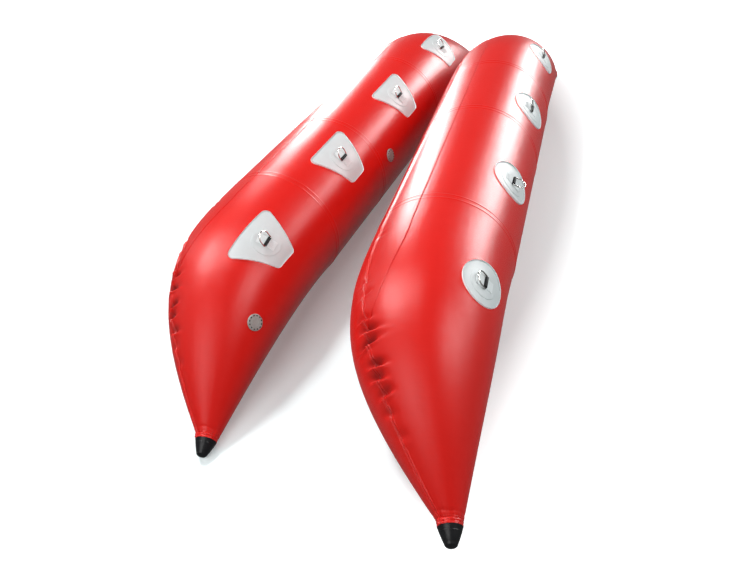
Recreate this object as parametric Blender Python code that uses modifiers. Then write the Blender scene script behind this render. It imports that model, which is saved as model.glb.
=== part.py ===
"""Pair of inflatable pontoons lying on their sides: two tapered air tubes that are alike, one of them turned
end for end. Metres, +Z up, +Y away from the viewer, the pair's footprint centred on the origin."""

import math

import bmesh
import bpy
from mathutils import Matrix, Vector

# Air tube
tube_radius = 0.275
barrel_length = 1.260
bow_length = 0.996
skin_thickness = 0.001
tube_facets = 32
bow_sections = 7
deck_reach = 0.336
deck_dip = 0.0243
keel_reach_1 = 0.439
keel_reach_2 = 0.647

# Nose at either end of a tube
nose_tilt = math.radians(19.3)
nose_floor_gap = 0.0005
nose_radius = 0.0430
collar_radius = 0.0390
collar_length = 0.020
neck_radius = 0.0340
neck_length = 0.016
cap_length = 0.062
cap_tip_radius = 0.0150
cap_tip_round = 0.0080
cap_bulge = 0.0030
cap_bulge_share = 0.44

# Bulkhead that parts the two air chambers
bulkhead_station = 0.162
bulkhead_sag = 0.070
bulkhead_bend = 0.5
bulkhead_bend_sag = 0.7
bulkhead_flange = 0.025
bulkhead_thickness = 0.001

# Wear strip along the keel
strip_half_width = 0.146
strip_bow_share = 0.177
strip_taper_share = 0.380
strip_taper_points = 5
strip_thickness = 0.0015

# Anchor patches, measured along the tube and round it from the ring's bar
middle_patch_share = 0.519
bow_patch_share = 0.368
inboard_angle = math.radians(92.4)
outboard_angle = math.radians(81)
bow_patch_turn = math.radians(3.1)
patch_thickness = 0.0012
wide_side = 0.312
narrow_side = 0.118
keel_edge = 0.105
deck_edge = 0.111
bow_patch_skew = math.radians(7.2)
corner_radius = 0.024
points_a_corner = 3
round_patch_radius = 0.097
round_patch_points = 14
base_disc_radius = 0.064
base_disc_points = 12
base_disc_thickness = 0.0015

# Webbing and its steel ring
webbing_width = 0.046
webbing_reach = 0.040
webbing_thickness = 0.0020
ring_wire_radius = 0.00275
ring_inner_width = 0.050
ring_reach = 0.048
ring_corner = 0.0040
ring_arc_steps = 6
loop_sides = 8
ring_lean = math.radians(60)
low_ring_lean = math.radians(80)

# Inflation valve
valve_1_share = 0.671
valve_1_angle = math.radians(72)
valve_2_station = 0.016
valve_2_angle = math.radians(56.8)
valve_2_angle_underneath = math.radians(62)
valve_flange_radius = 0.0325
valve_flange_height = 0.0070
valve_flange_chamfer = 0.0030
valve_barrel_radius = 0.0237
valve_clamp_radius = 0.0264
valve_clamp_thickness = 0.0030
valve_clamp_slack = 0.0010
valve_depth = 0.0200
valve_bore_radius = 0.0205
valve_floor_thickness = 0.0030
notch_count = 12
notch_circle = 0.0262
notch_width = 0.0048
notch_length = 0.0044
notch_depth = 0.0025
air_hole_count = 5
air_hole_radius = 0.0030
air_hole_circle = 0.0095
lid_height = 0.0085
lid_thickness = 0.0060
lid_edge = 0.0014
stem_radius = 0.0035
button_radius = 0.0072
button_thickness = 0.0020
button_depth = 0.0055
seal_radius = 0.0140
seal_thickness = 0.0020
spring_radius = 0.0052
spring_wire_radius = 0.0006
spring_turns = 3
spring_points_a_turn = 8
valve_sides = 16
stem_sides = 12
air_hole_sides = 6

# Fits
seat_gap = 0.0003
bond_overlap = 0.0006
slip_gap = 0.0005

# How the pair lies on the floor
rest_facet = 3
left_splay = math.radians(4.74)
right_splay = math.radians(3.67)
middle_gap = 0.1675
pair_stagger = 0.1776

facet_angle = 2 * math.pi / tube_facets
tube_roll = math.pi / 2 - (rest_facet + 0.5) * facet_angle
flat_radius = tube_radius * math.cos(facet_angle / 2)
half_barrel = barrel_length / 2
half_length = half_barrel + bow_length
middle_patch_station = middle_patch_share * half_barrel
bow_patch_station = half_barrel + bow_patch_share * bow_length
valve_1_station = half_barrel + valve_1_share * bow_length
patch_places = [
    (bow_patch_station, bow_patch_turn, bow_patch_skew), (middle_patch_station, 0, 0),
    (-middle_patch_station, 0, 0), (-bow_patch_station, bow_patch_turn, -bow_patch_skew),
]
pair_spacing = 2 * tube_radius + middle_gap
patch_top = seat_gap + patch_thickness
disc_top = patch_top + base_disc_thickness
webbing_top = disc_top + webbing_thickness
bar_height = webbing_top + ring_wire_radius + slip_gap / 2

# A cap's shoulder just clears the floor when its tube lies on the facet
nose_fall = math.sin(nose_tilt) * math.sin(tube_roll)
shoulder_drop = collar_radius * math.sqrt(1 - nose_fall**2) + nose_floor_gap
nose_height = (flat_radius - shoulder_drop) / math.sin(tube_roll) - collar_length * math.sin(nose_tilt)


def collection(name):
    made = bpy.data.collections.new(name)
    bpy.context.scene.collection.children.link(made)
    return made


def material(name, colour, roughness, metallic=0.0):
    made = bpy.data.materials.new(name)
    made.use_nodes = True
    shader = made.node_tree.nodes["Principled BSDF"]
    shader.inputs["Base Color"].default_value = (*colour, 1.0)
    shader.inputs["Roughness"].default_value = roughness
    shader.inputs["Metallic"].default_value = metallic
    return made


for leftover in list(bpy.data.objects):
    bpy.data.objects.remove(leftover, do_unlink=True)

parts = collection("pontoon_pair")
cutters = collection("pontoon_cutters")

red_pvc = material("red_pvc", (0.68, 0.025, 0.018), 0.35)
red_strip = material("red_strip", (0.62, 0.022, 0.016), 0.40)
grey_pvc = material("grey_pvc", (0.72, 0.74, 0.74), 0.45)
black_rubber = material("black_rubber", (0.012, 0.012, 0.013), 0.40)
steel = material("steel", (0.62, 0.61, 0.59), 0.18, 1.0)
valve_grey = material("valve_grey", (0.26, 0.26, 0.24), 0.40)
bulkhead_cloth = material("bulkhead_cloth", (0.35, 0.34, 0.32), 0.60)


# Objects from meshes

def add_object(name, bm, finish, parent, place=Matrix.Identity(4), helper=False):
    """Puts the mesh in a new object under its parent. A helper only shapes another object."""
    mesh = bpy.data.meshes.new(name)
    bm.to_mesh(mesh)
    bm.free()
    if finish:
        mesh.materials.append(finish)
        mesh.shade_smooth()
        mesh.set_sharp_from_angle(angle=math.radians(30))
    made = bpy.data.objects.new(name, mesh)
    made.parent = parent
    made.matrix_local = place
    if helper:
        cutters.objects.link(made)
        made.hide_render = True
        made.display_type = "WIRE"
    else:
        parts.objects.link(made)
    return made


def boolean(target, other, operation):
    cut = target.modifiers.new(operation.lower() + "_" + other.name, "BOOLEAN")
    cut.operation = operation
    cut.object = other


def solidify(target, thickness, offset):
    shell = target.modifiers.new("thickness", "SOLIDIFY")
    shell.thickness = thickness
    shell.offset = offset
    shell.use_even_offset = True


def turned(name, profile, steps, finish, parent, place):
    """A profile of (radius, height) pairs turned about the object's Z axis, outer side listed from the top down."""
    bm = bmesh.new()
    points = [bm.verts.new((radius, 0, height)) for radius, height in profile]
    for start, end in zip(points, points[1:]):
        bm.edges.new((start, end))
    if profile[0][0] > 0:
        bm.edges.new((points[-1], points[0]))
    made = add_object(name, bm, finish, parent, place)
    screw = made.modifiers.new("turn", "SCREW")
    screw.axis = "Z"
    screw.angle = 2 * math.pi
    screw.steps = steps
    screw.render_steps = steps
    screw.use_merge_vertices = True
    screw.merge_threshold = 0.00001
    return made


def cylinder(bm, radius, low, high, sides, across=(0, 0), turn=Matrix.Identity(4)):
    """Adds a closed cylinder from low to high along Z, turned as given."""
    place = turn @ Matrix.Translation((across[0], across[1], (low + high) / 2))
    bmesh.ops.create_cone(
        bm, cap_ends=True, segments=sides, radius1=radius, radius2=radius, depth=high - low, matrix=place
    )


# Shape of a tube. X runs along it from its middle towards the first valve, Z towards the deck side.
# A station is a distance along X. An angle is counted from the deck side towards starboard, which is -Y.
# A section is its centre and its deck-side radius, both as (along, up), and its half width.

def bezier(points, share):
    """Point on a Bezier curve at a share of its length, by repeated mixing of its control points."""
    while len(points) > 1:
        points = [a.lerp(b, share) for a, b in zip(points, points[1:])]
    return points[0]


def bow_lines(share):
    """Points on the deck line and the keel line of a bow, as (along, up) from the bend."""
    up = Vector((-math.sin(nose_tilt), math.cos(nose_tilt)))
    nose = Vector((bow_length, nose_height))
    deck_line = [
        Vector((0, tube_radius)),
        Vector((deck_reach * bow_length, tube_radius - deck_dip)),
        nose + up * nose_radius,
    ]
    keel_line = [
        Vector((0, -tube_radius)),
        Vector((keel_reach_1 * bow_length, -tube_radius)),
        Vector((keel_reach_2 * bow_length, -tube_radius)),
        nose - up * nose_radius,
    ]
    return bezier(deck_line, share), bezier(keel_line, share)


def bow_section(share):
    """Section of a bow that is round when seen along its own axis."""
    deck, keel = bow_lines(share)
    step = 0.001
    before = sum(bow_lines(share - step), Vector((0, 0)))
    after = sum(bow_lines(share + step), Vector((0, 0)))
    radius = (deck - keel) / 2
    half_width = abs(radius.cross((after - before).normalized()))
    return (deck + keel) / 2, radius, half_width


def stations():
    """Stations of the tube's sections, from end to end."""
    ahead = [half_barrel + bow_length * number / bow_sections for number in range(bow_sections + 1)]
    return [-station for station in reversed(ahead)] + ahead


def exact_section(station):
    beyond = abs(station) - half_barrel
    if beyond <= 0:
        return Vector((station, 0)), Vector((0, tube_radius)), tube_radius
    centre, radius, half_width = bow_section(min(beyond / bow_length, 1))
    centre.x += half_barrel
    if station < 0:
        centre.x *= -1
        radius.x *= -1
    return centre, radius, half_width


def section(station):
    """Section at any station, straight between the tube's own sections, as the faceted skin is."""
    known = stations()
    station = max(min(station, known[-1]), known[0])
    for low, high in zip(known, known[1:]):
        if station <= high:
            share = (station - low) / (high - low)
            pairs = zip(exact_section(low), exact_section(high))
            return tuple(a * (1 - share) + b * share for a, b in pairs)


def ridge(centre, radius, half_width, angle, lift=0.0):
    """Point on a section at an angle, outside it by a lift."""
    up = (radius + radius.normalized() * lift) * math.cos(angle)
    return Vector((centre.x + up.x, -math.sin(angle) * (half_width + lift), centre.y + up.y))


def on_skin(station, angle, lift):
    """Point above the flat facets of the skin, by a height measured square to them."""
    here = section(station)
    line = math.floor(angle / facet_angle)
    off_centre = angle - (line + 0.5) * facet_angle
    share = 0.5 + 0.5 * math.tan(off_centre) / math.tan(facet_angle / 2)
    ridge_lift = lift / math.cos(facet_angle / 2)
    low = ridge(*here, line * facet_angle, ridge_lift)
    high = ridge(*here, (line + 1) * facet_angle, ridge_lift)
    return low.lerp(high, share)


def seat_on(station, angle, lift):
    """Frame of a piece that stands on the round tube: X along the tube, Z out of it."""
    step = 0.001
    here = ridge(*section(station), angle)
    behind = ridge(*section(station - step), angle)
    ahead = ridge(*section(station + step), angle)
    along = (ahead - behind).normalized()
    round_it = Vector((0, math.cos(angle), math.sin(angle)))
    out = along.cross(round_it).normalized()
    turn = Matrix((along, out.cross(along), out)).transposed().to_4x4()
    return Matrix.Translation(here + out * lift) @ turn


# Pieces of one tube

def add_skin(name, tube):
    """The air-tight skin, a loft of round sections with a stepped neck at each end."""
    bm = bmesh.new()
    rings = []

    def add_ring(centre, radius, half_width):
        angles = (-number * facet_angle for number in range(tube_facets))
        rings.append([bm.verts.new(ridge(centre, radius, half_width, angle)) for angle in angles])

    axis = Vector((math.cos(nose_tilt), math.sin(nose_tilt)))
    up = Vector((-axis.y, axis.x))
    ends = (
        (0, nose_radius),
        (collar_length, collar_radius),
        (collar_length, neck_radius),
        (collar_length + neck_length, neck_radius),
    )
    nose = Vector((half_length, nose_height))
    for reach, radius in reversed(ends[1:]):
        centre = nose + axis * reach
        add_ring(Vector((-centre.x, centre.y)), Vector((-up.x, up.y)) * radius, radius)
    for station in stations():
        add_ring(*exact_section(station))
    for reach, radius in ends[1:]:
        add_ring(nose + axis * reach, up * radius, radius)
    for ring, following in zip(rings, rings[1:]):
        for number in range(tube_facets):
            beside = (number + 1) % tube_facets
            bm.faces.new((ring[number], following[number], following[beside], ring[beside]))
    bm.faces.new(rings[0])
    bm.faces.new(list(reversed(rings[-1])))
    bmesh.ops.recalc_face_normals(bm, faces=bm.faces)
    made = add_object(name, bm, red_pvc, tube)
    solidify(made, skin_thickness, -1)
    return made


def patch_sheet(name, outline, station, angle, side, lift, thickness, finish, tube, helper):
    """A flat outline of (along, round) points laid on the skin's facets and thickened outwards."""
    bm = bmesh.new()
    bm.faces.new([bm.verts.new((along, round_it, 0)) for along, round_it in outline])
    reach = max(abs(round_it) for along, round_it in outline)
    first = math.floor((angle - reach / tube_radius) / facet_angle)
    last = math.ceil((angle + reach / tube_radius) / facet_angle)
    for line in range(first, last + 1):
        crease = Vector((0, (line * facet_angle - angle) * tube_radius, 0))
        everything = bm.verts[:] + bm.edges[:] + bm.faces[:]
        bmesh.ops.bisect_plane(bm, geom=everything, plane_co=crease, plane_no=(0, 1, 0), dist=0.000001)
    for known in stations():
        crease = Vector((known - station, 0, 0))
        everything = bm.verts[:] + bm.edges[:] + bm.faces[:]
        bmesh.ops.bisect_plane(bm, geom=everything, plane_co=crease, plane_no=(1, 0, 0), dist=0.000001)
    for vert in bm.verts:
        vert.co = on_skin(station + vert.co.x, side * (angle + vert.co.y / tube_radius), lift)
    bm.normal_update()
    outwards = on_skin(station, side * angle, 1) - on_skin(station, side * angle, 0)
    if sum(face.normal.dot(outwards) for face in bm.faces) < 0:
        bmesh.ops.reverse_faces(bm, faces=bm.faces[:])
    made = add_object(name, bm, finish, tube, helper=helper)
    solidify(made, thickness, 1)
    return made


def rounded_outline(corners, radius):
    """The corners, listed anticlockwise, each replaced by an arc of the radius."""
    outline = []
    for number, corner in enumerate(corners):
        here = Vector(corner)
        before = (Vector(corners[number - 1]) - here).normalized()
        after = (Vector(corners[(number + 1) % len(corners)]) - here).normalized()
        half = before.angle(after) / 2
        centre = here + (before + after).normalized() * radius / math.sin(half)
        start = here + before * radius / math.tan(half) - centre
        sweep = math.pi - 2 * half
        for step in range(points_a_corner):
            turn = Matrix.Rotation(sweep * step / (points_a_corner - 1), 2)
            outline.append(tuple(centre + turn @ start))
    return outline


def circle_outline(radius, points):
    steps = (2 * math.pi * number / points for number in range(points))
    return [(radius * math.cos(turn), radius * math.sin(turn)) for turn in steps]


def trapezium_outline(skew):
    corners = [
        (wide_side / 2, keel_edge),
        (-wide_side / 2, keel_edge),
        (-narrow_side / 2, -deck_edge),
        (narrow_side / 2, -deck_edge),
    ]
    turn = Matrix.Rotation(skew, 2)
    return rounded_outline([turn @ Vector(corner) for corner in corners], corner_radius)


def add_patch(name, outline, station, angle, side, tube):
    """Anchor patch: sheet, base disc and the webbing that holds the ring's bar, bonded into one."""
    made = patch_sheet(name, outline, station, angle, side, seat_gap, patch_thickness, grey_pvc, tube, False)
    disc = patch_sheet(
        name + "_disc", circle_outline(base_disc_radius, base_disc_points), station, angle, side,
        patch_top - bond_overlap, base_disc_thickness + bond_overlap, None, tube, True,
    )
    boolean(made, disc, "UNION")
    half_width = webbing_width / 2
    band = [
        (-half_width, -webbing_reach), (half_width, -webbing_reach),
        (half_width, webbing_reach), (-half_width, webbing_reach),
    ]
    webbing = patch_sheet(
        name + "_webbing", band, station, angle, side,
        disc_top - bond_overlap, webbing_thickness + bond_overlap, None, tube, True,
    )
    boolean(made, webbing, "UNION")
    place = seat_on(station, side * angle, bar_height)
    along_bar = Matrix.Rotation(math.pi / 2, 4, "Y")
    bm = bmesh.new()
    loop_radius = ring_wire_radius + slip_gap + webbing_thickness
    cylinder(bm, loop_radius, -half_width, half_width, loop_sides, turn=along_bar)
    loop = add_object(name + "_loop", bm, None, tube, place, helper=True)
    boolean(made, loop, "UNION")
    bm = bmesh.new()
    cylinder(bm, ring_wire_radius + slip_gap, -webbing_width, webbing_width, loop_sides, turn=along_bar)
    passage = add_object(name + "_passage", bm, None, tube, place, helper=True)
    boolean(made, passage, "DIFFERENCE")
    return made


def ring_outline():
    """Centre line of the ring's wire: a straight bar along X at Y = 0, closed by a round bow."""
    half = ring_inner_width / 2 + ring_wire_radius
    straight = ring_reach - half
    points = [(-half + ring_corner, 0), (half - ring_corner, 0), (half, ring_corner)]
    for step in range(ring_arc_steps + 1):
        turn = math.pi * step / ring_arc_steps
        points.append((half * math.cos(turn), straight + half * math.sin(turn)))
    points.append((-half, ring_corner))
    return points


def add_ring(name, station, angle, side, lean, tube):
    """Steel ring that swings on its bar. Its lean is counted from upright towards the keel."""
    curve = bpy.data.curves.new(name, "CURVE")
    curve.dimensions = "3D"
    curve.bevel_depth = ring_wire_radius
    curve.bevel_resolution = 1
    curve.use_fill_caps = True
    spline = curve.splines.new("POLY")
    points = ring_outline()
    spline.points.add(len(points) - 1)
    for point, (across, out) in zip(spline.points, points):
        point.co = (across, out, 0, 1)
    spline.use_cyclic_u = True
    curve.materials.append(steel)
    made = bpy.data.objects.new(name, curve)
    made.parent = tube
    upright = Matrix.Rotation(math.pi / 2 + side * lean, 4, "X")
    made.matrix_local = seat_on(station, side * angle, bar_height) @ upright
    parts.objects.link(made)
    return made


def add_strip(name, tube):
    """Wear strip along the keel, drawn in to a point at both ends."""
    quarter = [math.pi / 2 * step / strip_taper_points for step in range(strip_taper_points + 1)]
    reach = half_barrel + strip_bow_share * bow_length
    taper = strip_taper_share * bow_length
    corner = [(reach + taper * math.sin(turn), strip_half_width * math.cos(turn)) for turn in quarter]
    ahead = corner + [(along, -width) for along, width in reversed(corner[:-1])]
    astern = [(-along, -width) for along, width in ahead]
    return patch_sheet(
        name, astern + ahead, 0, math.pi, 1, seat_gap, strip_thickness, red_strip, tube, False
    )


def add_bulkhead(name, tube):
    """Inner cloth wall: a flange on the skin and a cone that bellies towards the stern."""
    inside = (flat_radius - skin_thickness - seat_gap) / math.cos(facet_angle / 2)
    rings = ((bulkhead_flange, inside), (0, inside), (-bulkhead_sag * bulkhead_bend_sag, inside * bulkhead_bend))
    bm = bmesh.new()
    loops = []
    for along, radius in rings:
        centre = Vector((bulkhead_station + along, 0))
        angles = (number * facet_angle for number in range(tube_facets))
        loops.append([bm.verts.new(ridge(centre, Vector((0, radius)), radius, angle)) for angle in angles])
    for loop, following in zip(loops, loops[1:]):
        for number in range(tube_facets):
            beside = (number + 1) % tube_facets
            bm.faces.new((loop[number], loop[beside], following[beside], following[number]))
    tip = bm.verts.new((bulkhead_station - bulkhead_sag, 0, 0))
    for number in range(tube_facets):
        bm.faces.new((loops[-1][number], loops[-1][(number + 1) % tube_facets], tip))
    bmesh.ops.recalc_face_normals(bm, faces=bm.faces)
    bm.normal_update()
    if bm.faces[:][0].normal.dot(bm.faces[:][0].calc_center_median() - Vector((bulkhead_station, 0, 0))) < 0:
        bmesh.ops.reverse_faces(bm, faces=bm.faces[:])
    made = add_object(name, bm, bulkhead_cloth, tube)
    solidify(made, bulkhead_thickness, -1)
    return made


def add_nose_cap(name, direction, tube):
    """Rubber cap pushed over the neck. The direction is 1 at the bow and -1 at the stern."""
    axis = Vector((direction * math.cos(nose_tilt), 0, math.sin(nose_tilt)))
    shoulder = Vector((direction * half_length, 0, nose_height)) + axis * collar_length
    turn = axis.to_track_quat("Z", "Y").to_matrix().to_4x4()
    socket = neck_length + seat_gap
    middle = cap_length * cap_bulge_share
    profile = [
        (0, cap_length),
        (cap_tip_radius, cap_length - cap_tip_round),
        ((cap_tip_radius + collar_radius) / 2 + cap_bulge, middle),
        (collar_radius, seat_gap),
        (neck_radius + seat_gap, seat_gap),
        (neck_radius + seat_gap, socket),
        (0, socket),
    ]
    return turned(name, profile, tube_facets, black_rubber, tube, Matrix.Translation(shoulder) @ turn)


def add_valve(name, station, angle, skin, tube):
    """Inflation valve: body clamped through the skin, lid, spring-loaded stem and its spring."""
    place = seat_on(station, angle, 0)
    bm = bmesh.new()
    cylinder(bm, valve_barrel_radius + seat_gap, -valve_depth, valve_depth, valve_sides)
    boolean(skin, add_object(name + "_hole", bm, None, tube, place, helper=True), "DIFFERENCE")

    radius_here = section(station)[2]
    skin_fall = radius_here - math.sqrt(radius_here**2 - valve_clamp_radius**2)
    skin_fall += radius_here * (1 - math.cos(facet_angle / 2))
    clamp = -(skin_thickness + skin_fall + seat_gap + valve_clamp_slack)
    floor = -valve_depth + valve_floor_thickness
    profile = [
        (valve_flange_radius - valve_flange_chamfer, valve_flange_height),
        (valve_flange_radius, valve_flange_height - valve_flange_chamfer),
        (valve_flange_radius, seat_gap),
        (valve_barrel_radius, seat_gap),
        (valve_barrel_radius, clamp),
        (valve_clamp_radius, clamp),
        (valve_clamp_radius, clamp - valve_clamp_thickness),
        (valve_barrel_radius, clamp - valve_clamp_thickness),
        (valve_barrel_radius, -valve_depth),
        (stem_radius + seat_gap, -valve_depth),
        (stem_radius + seat_gap, floor),
        (valve_bore_radius, floor),
        (valve_bore_radius, valve_flange_height),
    ]
    body = turned(name + "_body", profile, valve_sides, valve_grey, tube, place)
    bm = bmesh.new()
    for number in range(notch_count):
        turn = Matrix.Rotation(2 * math.pi * (number + 0.5) / notch_count, 4, "Z")
        notch = Matrix.Diagonal((notch_length, notch_width, 2 * notch_depth, 1))
        where = turn @ Matrix.Translation((notch_circle, 0, valve_flange_height)) @ notch
        bmesh.ops.create_cube(bm, size=1, matrix=where)
    boolean(body, add_object(name + "_notches", bm, None, tube, place, helper=True), "DIFFERENCE")
    bm = bmesh.new()
    for number in range(air_hole_count):
        turn = 2 * math.pi * number / air_hole_count
        across = (air_hole_circle * math.cos(turn), air_hole_circle * math.sin(turn))
        middle = floor - valve_floor_thickness / 2
        cylinder(bm, air_hole_radius, middle - valve_floor_thickness, middle + valve_floor_thickness, air_hole_sides, across)
    boolean(body, add_object(name + "_air_holes", bm, None, tube, place, helper=True), "DIFFERENCE")

    lid_radius = valve_bore_radius - seat_gap
    lid_profile = [
        (0, lid_height),
        (lid_radius - lid_edge, lid_height),
        (lid_radius, lid_height - lid_edge),
        (lid_radius, lid_height - lid_thickness),
        (0, lid_height - lid_thickness),
    ]
    turned(name + "_lid", lid_profile, valve_sides, valve_grey, tube, place)

    button_underside = -button_depth - button_thickness
    seal_top = -valve_depth - seat_gap
    stem_profile = [
        (0, -button_depth),
        (button_radius, -button_depth),
        (button_radius, button_underside),
        (stem_radius, button_underside),
        (stem_radius, seal_top),
        (seal_radius, seal_top),
        (seal_radius, seal_top - seal_thickness),
        (0, seal_top - seal_thickness),
    ]
    turned(name + "_stem", stem_profile, stem_sides, valve_grey, tube, place)

    curve = bpy.data.curves.new(name + "_spring", "CURVE")
    curve.dimensions = "3D"
    curve.bevel_depth = spring_wire_radius
    curve.bevel_resolution = 1
    curve.use_fill_caps = True
    curve.materials.append(steel)
    low = floor + spring_wire_radius + seat_gap
    high = button_underside - spring_wire_radius - seat_gap
    steps = spring_turns * spring_points_a_turn
    spline = curve.splines.new("POLY")
    spline.points.add(steps)
    for step, point in enumerate(spline.points):
        turn = 2 * math.pi * step / spring_points_a_turn
        height = low + (high - low) * step / steps
        point.co = (spring_radius * math.cos(turn), spring_radius * math.sin(turn), height, 1)
    spring = bpy.data.objects.new(name + "_spring", curve)
    spring.parent = tube
    spring.matrix_local = place
    parts.objects.link(spring)


def add_tube(name, place, second_valve_angle, inboard_leans, outboard_leans):
    """One whole pontoon under an empty at its middle."""
    tube = bpy.data.objects.new(name + "_tube", None)
    parts.objects.link(tube)
    tube.matrix_world = place
    skin = add_skin(name + "_skin", tube)
    add_bulkhead(name + "_bulkhead", tube)
    add_strip(name + "_keel_strip", tube)
    add_nose_cap(name + "_bow_cap", 1, tube)
    add_nose_cap(name + "_stern_cap", -1, tube)
    add_valve(name + "_valve_1", valve_1_station, valve_1_angle, skin, tube)
    add_valve(name + "_valve_2", valve_2_station, second_valve_angle, skin, tube)
    for number, (station, turn, skew) in enumerate(patch_places):
        label = str(number + 1)
        inboard = inboard_angle + turn
        outboard = outboard_angle + turn
        round_outline = circle_outline(round_patch_radius, round_patch_points)
        add_patch(name + "_inboard_patch_" + label, trapezium_outline(skew), station, inboard, 1, tube)
        add_ring(name + "_inboard_ring_" + label, station, inboard, 1, inboard_leans[number], tube)
        add_patch(name + "_outboard_patch_" + label, round_outline, station, outboard, -1, tube)
        add_ring(name + "_outboard_ring_" + label, station, outboard, -1, outboard_leans[number], tube)
    return tube


def lying(yaw, flipped, across, along):
    """Frame of a tube that lies rolled onto its facet, its bow towards the viewer unless it is flipped."""
    bow = Vector((math.sin(yaw), -math.cos(yaw), 0))
    sideways = Vector((math.cos(yaw), math.sin(yaw), 0))
    deck = sideways * math.cos(tube_roll) - Vector((0, 0, math.sin(tube_roll)))
    if flipped:
        bow = -bow
    turn = Matrix((bow, deck.cross(bow), deck)).transposed().to_4x4()
    return Matrix.Translation((across, along, flat_radius)) @ turn


def hanging(angle):
    """Leans at which the rings along a tube's underside hang straight down."""
    return [math.pi / 2 - tube_roll - angle - turn for station, turn, skew in patch_places]


def world_points(piece, graph):
    evaluated = piece.evaluated_get(graph)
    mesh = evaluated.to_mesh()
    points = [evaluated.matrix_world @ vert.co for vert in mesh.vertices]
    evaluated.to_mesh_clear()
    return points


# The rings on the upper sides lean towards the keel, but for the right tube's third outboard one
towards_keel = [ring_lean] * len(patch_places)
one_towards_deck = [ring_lean, ring_lean, -ring_lean, low_ring_lean]
left = add_tube(
    "left", lying(-left_splay, False, -pair_spacing / 2, pair_stagger / 2), valve_2_angle,
    towards_keel, hanging(outboard_angle),
)
right = add_tube(
    "right", lying(right_splay, True, pair_spacing / 2, -pair_stagger / 2), valve_2_angle_underneath,
    hanging(inboard_angle), one_towards_deck,
)

# Centre the footprint on the origin
bpy.context.view_layer.update()
graph = bpy.context.evaluated_depsgraph_get()
outer_points = []
for piece in parts.objects:
    if piece.type != "EMPTY":
        outer_points += world_points(piece, graph)
middle_x, middle_y = (
    (min(point[axis] for point in outer_points) + max(point[axis] for point in outer_points)) / 2
    for axis in (0, 1)
)
for tube in (left, right):
    tube.location.x -= middle_x
    tube.location.y -= middle_y
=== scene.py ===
"""Looks of a pair of inflatable pontoons: two tapered red air tubes lying rolled on a white studio floor."""

import math

import bpy
from mathutils import Matrix, Vector


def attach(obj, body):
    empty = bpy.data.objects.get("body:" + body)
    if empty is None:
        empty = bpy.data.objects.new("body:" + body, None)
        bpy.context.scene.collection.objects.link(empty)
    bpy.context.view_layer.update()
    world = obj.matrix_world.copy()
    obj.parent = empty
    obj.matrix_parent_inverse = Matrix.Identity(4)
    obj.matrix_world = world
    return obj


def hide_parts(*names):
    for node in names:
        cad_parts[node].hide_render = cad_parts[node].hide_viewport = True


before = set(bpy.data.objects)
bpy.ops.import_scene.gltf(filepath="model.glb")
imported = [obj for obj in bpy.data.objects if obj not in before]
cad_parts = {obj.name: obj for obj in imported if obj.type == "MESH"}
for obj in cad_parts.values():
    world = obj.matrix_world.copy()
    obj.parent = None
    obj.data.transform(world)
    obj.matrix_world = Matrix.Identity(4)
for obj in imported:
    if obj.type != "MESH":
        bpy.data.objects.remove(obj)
scene = bpy.context.scene
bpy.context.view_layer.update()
bpy.ops.object.select_all(action="DESELECT")

# ------------------------------------------------------------------------------
# Photographer's studio: a seamless white floor, a camera above the near ends, and softboxes round the tubes.
# The floor is plain white card. It glows for the camera alone, more so away from the pair, so that it burns
# out to white while the shadows beside the tubes stay.
# ------------------------------------------------------------------------------

photo_width = 750
camera_place = (1.2144, -2.7802, 1.8249)
camera_yaw, camera_pitch, camera_roll = -0.50474, -0.62404, -0.25984
camera_focus_px = 692.8


class Value:
    """A socket's output that Python's operators turn into Math nodes."""

    def __init__(self, shader, socket):
        self.shader = shader
        self.socket = socket

    def maths(self, operation, *values):
        return self.shader.node("ShaderNodeMath", {"operation": operation}, dict(enumerate(values)))

    def __add__(self, other):
        return self.maths("ADD", self, other)

    def __radd__(self, other):
        return self.maths("ADD", other, self)

    def __sub__(self, other):
        return self.maths("SUBTRACT", self, other)

    def __mul__(self, other):
        return self.maths("MULTIPLY", self, other)

    def __truediv__(self, other):
        return self.maths("DIVIDE", self, other)

    def at_most(self, other):
        return self.maths("MINIMUM", self, other)

    def at_least(self, other):
        return self.maths("MAXIMUM", self, other)


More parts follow.
